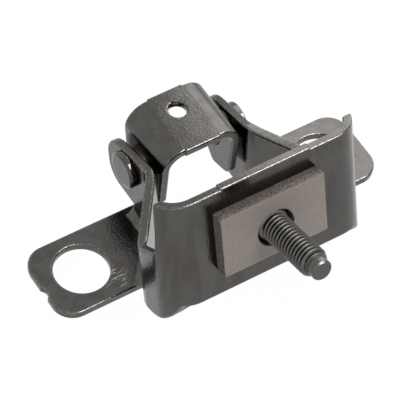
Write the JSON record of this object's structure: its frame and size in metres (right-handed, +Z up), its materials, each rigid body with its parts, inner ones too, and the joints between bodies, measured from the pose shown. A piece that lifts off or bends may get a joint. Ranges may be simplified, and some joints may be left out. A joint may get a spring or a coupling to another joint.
{
  "type": "tailgate hinge",
  "caption": "Folded sheet-metal hinge bracket with mounting tabs, a swinging channel clip on a pin, and a weld stud in a foam pad.",
  "frame": {"origin": "midway between the two tab holes, on the tabs' seating face", "axes": "+Z up from the seating face, X along the hinge axis, -Y towards the stud side"},
  "size_m": [0.0994, 0.0744, 0.0478],
  "materials": {
    "black_coat": "gloss black cathodic dip coat",
    "pin_coat": "gloss black coat over the formed heads",
    "bush": "dark bearing bronze, partly coated",
    "stud": "black coat, worn bright on the thread's crests",
    "foam": "taupe closed-cell foam with a smooth skin"
  },
  "bodies": {
    "base": {"base_bracket": "black_coat", "hinge_pin": "pin_coat", "weld_stud": "stud", "foam_pad": "foam"},
    "clip": {"clip_bracket": "black_coat", "pivot_bush_left": "bush", "pivot_bush_right": "bush"}
  },
  "joints": [
    {"name": "clip_swing", "type": "hinge", "parent": "base", "child": "clip", "pos_m": [0, 0.0135, 0.0162], "axis": [-1, 0, 0], "range_deg": [0, 100]}
  ]
}
